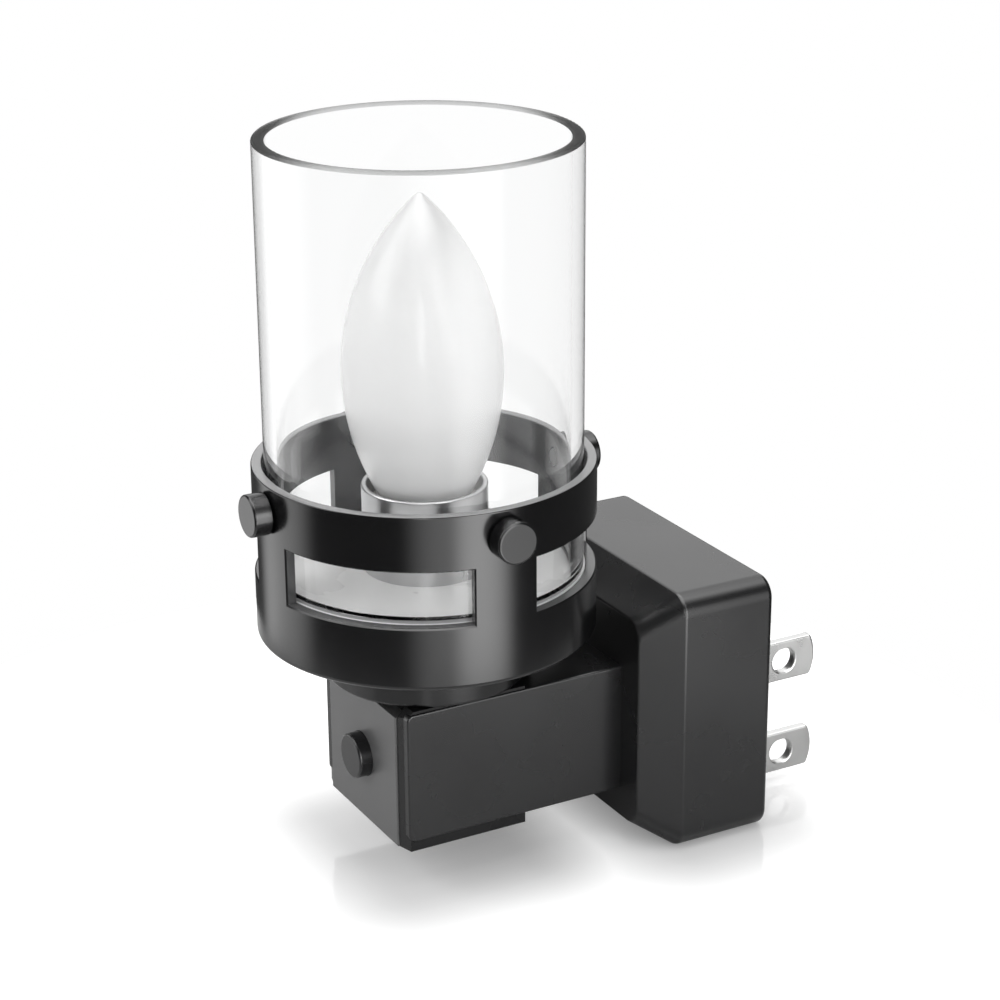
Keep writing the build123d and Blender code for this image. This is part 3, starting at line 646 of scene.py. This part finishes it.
def makeScrewTree():
    tree, source, sink = newGroup(
        "caseScrews", "GeometryNodeTree",
        [("Across", "NodeSocketFloat", 20 * mm), ("Up", "NodeSocketFloat", 20 * mm),
         ("Head radius", "NodeSocketFloat", 2 * mm), ("Head height", "NodeSocketFloat", 1.5 * mm),
         ("Shank radius", "NodeSocketFloat", 1 * mm), ("Shank length", "NodeSocketFloat", 10 * mm),
         ("Place", "NodeSocketVector", None), ("Finish", "NodeSocketMaterial", None)],
        [("Geometry", "NodeSocketGeometry")])

    def scaled(socket, factor, at):
        node = addNode(tree, "ShaderNodeMath", at, operation="MULTIPLY")
        link(tree, socket, node.inputs[0])
        node.inputs[1].default_value = factor
        return node.outputs["Value"]

    def raised(geometry, height, at):
        lift = addNode(tree, "ShaderNodeCombineXYZ", (at[0] - 150, at[1] - 100))
        move = addNode(tree, "GeometryNodeTransform", at)
        link(tree, height, lift.inputs["Z"])
        link(tree, geometry, move.inputs["Geometry"])
        link(tree, lift.outputs["Vector"], move.inputs["Translation"])
        return move.outputs["Geometry"]

    radius, height = source.outputs["Head radius"], source.outputs["Head height"]
    flank = addNode(tree, "GeometryNodeMeshCone", (-900, 500))
    crown = addNode(tree, "GeometryNodeMeshCone", (-900, 200))
    shank = addNode(tree, "GeometryNodeMeshCylinder", (-900, -100))
    for solid in (flank, crown, shank):
        solid.inputs["Vertices"].default_value = caseScrew["sides"]
    flankHeight = scaled(height, 1 - caseScrew["crownShare"], (-1100, 500))
    crownHeight = scaled(height, caseScrew["crownShare"], (-1100, 200))
    link(tree, radius, flank.inputs["Radius Bottom"])
    link(tree, radius, flank.inputs["Radius Top"])
    link(tree, flankHeight, flank.inputs["Depth"])
    link(tree, radius, crown.inputs["Radius Bottom"])
    link(tree, scaled(radius, caseScrew["crown"], (-1100, 50)), crown.inputs["Radius Top"])
    link(tree, crownHeight, crown.inputs["Depth"])
    link(tree, source.outputs["Shank radius"], shank.inputs["Radius"])
    link(tree, source.outputs["Shank length"], shank.inputs["Depth"])
    head = addNode(tree, "GeometryNodeMeshBoolean", (-450, 400), operation="UNION", solver="EXACT")
    overlap = scaled(flankHeight, caseScrew["crownSink"], (-800, 50))
    link(tree, flank.outputs["Mesh"], head.inputs["Mesh 2"])
    link(tree, raised(crown.outputs["Mesh"], overlap, (-650, 200)), head.inputs["Mesh 2"])
    drop = scaled(source.outputs["Shank length"], -caseScrew["shankSink"], (-800, -200))
    link(tree, raised(shank.outputs["Mesh"], drop, (-650, -100)), head.inputs["Mesh 2"])
    cut = addNode(tree, "GeometryNodeMeshBoolean", (-200, 400), operation="DIFFERENCE", solver="EXACT")
    link(tree, head.outputs["Mesh"], cut.inputs["Mesh 1"])
    for turn in (0, math.pi / 2):
        bar = addNode(tree, "GeometryNodeMeshCube", (-700, -400))
        size = addNode(tree, "ShaderNodeCombineXYZ", (-850, -400))
        size.inputs["Z"].default_value = 2 * caseScrew["crossDepth"]
        link(tree, scaled(radius, 2 * caseScrew["crossLength"], (-1000, -350)), size.inputs["X"])
        link(tree, scaled(radius, 2 * caseScrew["crossWidth"], (-1000, -450)), size.inputs["Y"])
        link(tree, size.outputs["Vector"], bar.inputs["Size"])
        spin = addNode(tree, "GeometryNodeTransform", (-500, -400))
        spin.inputs["Rotation"].default_value = (0, 0, turn)
        link(tree, bar.outputs["Mesh"], spin.inputs["Geometry"])
        link(tree, raised(spin.outputs["Geometry"], height, (-350, -300)), cut.inputs["Mesh 2"])
    grid = addNode(tree, "GeometryNodeMeshGrid", (-200, 0))
    grid.inputs["Vertices X"].default_value = 2
    grid.inputs["Vertices Y"].default_value = 2
    link(tree, source.outputs["Across"], grid.inputs["Size X"])
    link(tree, source.outputs["Up"], grid.inputs["Size Y"])
    spread = addNode(tree, "GeometryNodeInstanceOnPoints", (0, 200))
    link(tree, grid.outputs["Mesh"], spread.inputs["Points"])
    link(tree, cut.outputs["Mesh"], spread.inputs["Instance"])
    stand = addNode(tree, "GeometryNodeTransform", (200, 200))
    stand.inputs["Rotation"].default_value = (-math.pi / 2, 0, 0)
    link(tree, spread.outputs["Instances"], stand.inputs["Geometry"])
    link(tree, source.outputs["Place"], stand.inputs["Translation"])
    real = addNode(tree, "GeometryNodeRealizeInstances", (400, 200))
    paint = addNode(tree, "GeometryNodeSetMaterial", (600, 200))
    link(tree, stand.outputs["Geometry"], real.inputs["Geometry"])
    link(tree, real.outputs["Geometry"], paint.inputs["Geometry"])
    link(tree, source.outputs["Finish"], paint.inputs["Material"])
    link(tree, paint.outputs["Geometry"], sink.inputs["Geometry"])
    return tree


def makeCaseScrews():
    low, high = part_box("case_screws")
    size = high - low
    underHead = high.y - caseScrew["headHeight"]
    piece = treePiece("caseScrewSet", makeScrewTree(), {
        "Across": size.x - 2 * caseScrew["headRadius"], "Up": size.z - 2 * caseScrew["headRadius"],
        "Head radius": caseScrew["headRadius"], "Head height": caseScrew["headHeight"],
        "Shank radius": caseScrew["shankRadius"], "Shank length": underHead - low.y,
        "Place": (0, underHead, (low.z + high.z) / 2), "Finish": finishes["zincSteel"]})
    settle(piece)
    smoothPiece(piece)
    finishPiece(piece, "base", ["case_screws"])


makeCaseScrews()
print("case screws made")


# floor, light and camera
studio = dict(floorDrop=0.02 * mm, floorRadius=97 * mm, floorSides=128, floorColour=(0.8, 0.8, 0.8),
              floorGlowAndPaintedShadow=(0.18, 0.66), paintedShadowReach=19 * mm, floorRoughness=0.1, fill=0.36, dim=0.085,
              throughGlass=0.95)
# bright cards round the studio as reflections see them: heading from -Y towards +X, half width and
# soft edge in degrees, and the upward slopes between which the card lies
cards = {
    "leftCard": dict(heading=-47, half=8, soft=26, level=1.9, bottom=-2.0, top=0.3),
    "rightStrip": dict(heading=102, half=0, soft=24, level=4.4, bottom=-2.0, top=0.5),
    "rightWide": dict(heading=84, half=0, soft=38, level=2.2, bottom=-2.0, top=0.5),
    "backCard": dict(heading=241, half=14, soft=22, level=1.4, bottom=0.0, top=2.0),
    "topCard": dict(heading=0, half=180, soft=0, level=4.0, bottom=0.68, top=2.0),
}
cardFade = 0.25
cosineGap = 0.001  # keeps a card with no soft edge from fading over nothing
lamps = {
    "keyLeft": dict(place=(-0.3, -0.85, 0.6), size=(0.7, 0.7), watts=4.5),
    "topSoft": dict(place=(0.05, 0.0, 0.9), size=(0.8, 0.8), watts=3.0),
    "rightFill": dict(place=(0.75, 0.1, 0.35), size=(0.3, 0.7), watts=1.6),
    "bulbCatch": dict(place=(0.87, -0.52, 0.24), size=(0.14, 0.5), watts=1.1),
}


# distance on the floor from the outline of a box that stands on it
def makeFootprintGroup():
    group, source, sink = newGroup(
        "footprintDistance", "ShaderNodeTree",
        [("Place", "NodeSocketVector", None), ("Middle", "NodeSocketVector", None),
         ("Half size", "NodeSocketVector", None)],
        [("Distance", "NodeSocketFloat")])
    steps = [addNode(group, "ShaderNodeVectorMath", (-900 + 250 * i, 0), operation=kind)
             for i, kind in enumerate(("SUBTRACT", "ABSOLUTE", "SUBTRACT", "MAXIMUM", "MULTIPLY", "LENGTH"))]
    steps[4].inputs[1].default_value = levelOnly
    link(group, source.outputs["Place"], steps[0].inputs[0])
    link(group, source.outputs["Middle"], steps[0].inputs[1])
    link(group, source.outputs["Half size"], steps[2].inputs[1])
    for step, after in zip(steps, steps[1:]):
        link(group, step.outputs["Vector"], after.inputs[0])
    link(group, steps[-1].outputs["Value"], sink.inputs["Distance"])
    return group


def makeFloor():
    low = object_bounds()[0].z - studio["floorDrop"]
    mesh = bpy.data.meshes.new("floor")
    turns = [2 * math.pi * i / studio["floorSides"] for i in range(studio["floorSides"])]
    ring = [(studio["floorRadius"] * math.cos(t), lampAxis.y + studio["floorRadius"] * math.sin(t), low)
            for t in turns]
    mesh.from_pydata(ring, [], [range(len(ring))])
    floor = bpy.data.objects.new("floor", mesh)
    bpy.context.collection.objects.link(floor)
    material, tree, shader = newMaterial("paleFloor")
    shader.inputs["Base Color"].default_value = (*studio["floorColour"], 1)
    shader.inputs["Roughness"].default_value = studio["floorRoughness"]
    # to the camera the floor brightens to the white of the background away from the plug and the block; its
    # lower glow near their footprints is a painted shadow
    group = makeFootprintGroup()
    coords = addNode(tree, "ShaderNodeTexCoord", (-1100, 300))
    near = addNode(tree, "ShaderNodeMath", (-600, 300), operation="MINIMUM")
    for socket, node in zip(near.inputs, ("front_block", "plug_rear_housing")):
        corner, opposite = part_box(node)
        away = addNode(tree, "ShaderNodeGroup", (-850, 300), node_tree=group)
        away.inputs["Middle"].default_value = (corner + opposite) / 2
        away.inputs["Half size"].default_value = (opposite - corner) / 2
        link(tree, coords.outputs["Object"], away.inputs["Place"])
        link(tree, away.outputs["Distance"], socket)
    paintedShadowFade = addFade(tree, (-400, 300), 0, studio["paintedShadowReach"], *studio["floorGlowAndPaintedShadow"])
    path = addNode(tree, "ShaderNodeLightPath", (-700, 600))
    seen = addNode(tree, "ShaderNodeMath", (-400, 600), operation="MAXIMUM")
    lit = addNode(tree, "ShaderNodeMath", (-200, 400), operation="MULTIPLY")
    glow = addNode(tree, "ShaderNodeEmission", (0, 400))
    both = addNode(tree, "ShaderNodeAddShader", (300, 200))
    output = next(n for n in tree.nodes if n.type == "OUTPUT_MATERIAL")
    link(tree, near.outputs["Value"], paintedShadowFade.inputs["Value"])
    link(tree, path.outputs["Is Camera Ray"], seen.inputs[0])
    link(tree, path.outputs["Is Transmission Ray"], seen.inputs[1])
    link(tree, seen.outputs["Value"], lit.inputs[0])
    link(tree, paintedShadowFade.outputs["Result"], lit.inputs[1])
    link(tree, lit.outputs["Value"], glow.inputs["Color"])
    link(tree, shader.outputs["BSDF"], both.inputs[0])
    link(tree, glow.outputs["Emission"], both.inputs[1])
    link(tree, both.outputs["Shader"], output.inputs["Surface"])
    mesh.materials.append(material)


# one upright card of light: a mask that is 1 towards its heading and fades at its soft edges, foot and top
def makeCardGroup():
    group, source, sink = newGroup(
        "uprightCard", "ShaderNodeTree",
        [("Direction", "NodeSocketVector", None), ("Heading", "NodeSocketVector", None),
         ("Inner cosine", "NodeSocketFloat", 0.9), ("Outer cosine", "NodeSocketFloat", 0.8),
         ("Bottom", "NodeSocketFloat", -2.0), ("Top", "NodeSocketFloat", 0.5)],
        [("Mask", "NodeSocketFloat")])
    level = addNode(group, "ShaderNodeVectorMath", (-900, 0), operation="MULTIPLY")
    level.inputs[1].default_value = levelOnly
    unit = addNode(group, "ShaderNodeVectorMath", (-700, 0), operation="NORMALIZE")
    along = addNode(group, "ShaderNodeVectorMath", (-500, 0), operation="DOT_PRODUCT")
    fade = addFade(group, (-200, 0))
    split = addNode(group, "ShaderNodeSeparateXYZ", (-900, -300))
    above = addNode(group, "ShaderNodeMath", (-500, -300), operation="SUBTRACT")
    below = addNode(group, "ShaderNodeMath", (-500, -500), operation="SUBTRACT")
    foot = addFade(group, (-200, -300), 0, cardFade)
    cap = addFade(group, (-200, -500), 0, cardFade)
    upright = addNode(group, "ShaderNodeMath", (100, -300), operation="MULTIPLY")
    both = addNode(group, "ShaderNodeMath", (300, 0), operation="MULTIPLY")
    link(group, source.outputs["Direction"], level.inputs[0])
    link(group, level.outputs["Vector"], unit.inputs[0])
    link(group, unit.outputs["Vector"], along.inputs[0])
    link(group, source.outputs["Heading"], along.inputs[1])
    link(group, along.outputs["Value"], fade.inputs["Value"])
    link(group, source.outputs["Outer cosine"], fade.inputs["From Min"])
    link(group, source.outputs["Inner cosine"], fade.inputs["From Max"])
    link(group, source.outputs["Direction"], split.inputs["Vector"])
    link(group, split.outputs["Z"], above.inputs[0])
    link(group, source.outputs["Bottom"], above.inputs[1])
    link(group, source.outputs["Top"], below.inputs[0])
    link(group, split.outputs["Z"], below.inputs[1])
    link(group, above.outputs["Value"], foot.inputs["Value"])
    link(group, below.outputs["Value"], cap.inputs["Value"])
    link(group, foot.outputs["Result"], upright.inputs[0])
    link(group, cap.outputs["Result"], upright.inputs[1])
    link(group, fade.outputs["Result"], both.inputs[0])
    link(group, upright.outputs["Value"], both.inputs[1])
    link(group, both.outputs["Value"], sink.inputs["Mask"])
    return group


def makeWorld():
    world = bpy.data.worlds.new("studio")
    bpy.context.scene.world = world
    world.use_nodes = True
    tree = world.node_tree
    tree.nodes.clear()
    group = makeCardGroup()
    coords = addNode(tree, "ShaderNodeTexCoord", (-1400, -400))
    total = None
    for row, card in enumerate(cards.values()):
        turn = math.radians(card["heading"])
        mask = addNode(tree, "ShaderNodeGroup", (-1100, -300 - 250 * row), node_tree=group)
        outer = math.cos(math.radians(card["half"] + card["soft"]))
        mask.inputs["Heading"].default_value = (math.sin(turn), -math.cos(turn), 0)
        mask.inputs["Inner cosine"].default_value = math.cos(math.radians(card["half"]))
        mask.inputs["Outer cosine"].default_value = outer - cosineGap
        mask.inputs["Bottom"].default_value = card["bottom"]
        mask.inputs["Top"].default_value = card["top"]
        link(tree, coords.outputs["Generated"], mask.inputs["Direction"])
        add = addNode(tree, "ShaderNodeMath", (-800, -300 - 250 * row), operation="MULTIPLY_ADD")
        add.inputs[1].default_value = card["level"]
        add.inputs[2].default_value = studio["dim"]
        link(tree, mask.outputs["Mask"], add.inputs[0])
        if total:
            link(tree, total, add.inputs[2])
        total = add.outputs["Value"]
    path = addNode(tree, "ShaderNodeLightPath", (-800, 200))
    clear = addNode(tree, "ShaderNodeMath", (-500, 200), operation="MAXIMUM")
    link(tree, path.outputs["Is Camera Ray"], clear.inputs[0])
    link(tree, path.outputs["Is Transmission Ray"], clear.inputs[1])
    # white for what is seen past or through the glass, and a plain level for the light that it lets in
    through = addNode(tree, "ShaderNodeMath", (-500, 400), operation="MINIMUM")
    through.inputs[1].default_value = 1
    link(tree, path.outputs["Diffuse Depth"], through.inputs[0])
    backdrop = addNode(tree, "ShaderNodeMix", (-400, 300), data_type="RGBA")
    backdrop.inputs["A"].default_value = (1, 1, 1, 1)
    backdrop.inputs["B"].default_value = (*[studio["throughGlass"]] * 3, 1)
    link(tree, through.outputs["Value"], backdrop.inputs["Factor"])
    fill, shine, white = (addNode(tree, "ShaderNodeBackground", (-400, -100 - 150 * i)) for i in range(3))
    fill.inputs["Color"].default_value = (*[studio["fill"]] * 3, 1)
    link(tree, total, shine.inputs["Color"])
    link(tree, backdrop.outputs["Result"], white.inputs["Color"])
    glossy = addNode(tree, "ShaderNodeMixShader", (-150, -100))
    link(tree, path.outputs["Is Glossy Ray"], glossy.inputs["Fac"])
    link(tree, fill.outputs["Background"], glossy.inputs[1])
    link(tree, shine.outputs["Background"], glossy.inputs[2])
    mix = addNode(tree, "ShaderNodeMixShader", (100, 0))
    link(tree, clear.outputs["Value"], mix.inputs["Fac"])
    link(tree, glossy.outputs["Shader"], mix.inputs[1])
    link(tree, white.outputs["Background"], mix.inputs[2])
    output = addNode(tree, "ShaderNodeOutputWorld", (300, 0))
    link(tree, mix.outputs["Shader"], output.inputs["Surface"])


def areaLight(name, lamp, target):
    data = bpy.data.lights.new(name, "AREA")
    data.shape = "RECTANGLE"
    data.size, data.size_y = lamp["size"]
    data.energy = lamp["watts"]
    holder = bpy.data.objects.new(name, data)
    holder.location = lamp["place"]
    holder.rotation_euler = (target - Vector(lamp["place"])).to_track_quat("-Z", "Y").to_euler()
    bpy.context.collection.objects.link(holder)


# camera found by fitting the photo's edges
view = dict(place=(0.29354, -0.19317, 0.15711), azimuth=61.345, elevation=20.662, roll=-0.4, lens=91.465,
            sensor=36.0, clipStart=10 * mm)


def makeCamera():
    azimuth, elevation, roll = (math.radians(view[key]) for key in ("azimuth", "elevation", "roll"))
    back = Vector((math.sin(azimuth) * math.cos(elevation), -math.cos(azimuth) * math.cos(elevation),
                   math.sin(elevation)))
    right = Vector((math.cos(azimuth), math.sin(azimuth), 0))
    up = back.cross(right)
    across = right * math.cos(roll) + up * math.sin(roll)
    above = up * math.cos(roll) - right * math.sin(roll)
    data = bpy.data.cameras.new("camera")
    data.lens = view["lens"]
    data.sensor_width = view["sensor"]
    data.clip_start = view["clipStart"]
    camera = bpy.data.objects.new("camera", data)
    turn = Matrix((across, above, back)).transposed()
    camera.matrix_world = Matrix.Translation(view["place"]) @ turn.to_4x4()
    bpy.context.collection.objects.link(camera)
    bpy.context.scene.camera = camera


makeFloor()
makeWorld()
middle = (cadBox[0] + cadBox[1]) / 2
for name, lamp in lamps.items():
    areaLight(name, lamp, middle)
makeCamera()
bpy.context.scene.view_settings.view_transform = "Standard"
print("floor, light and camera set")
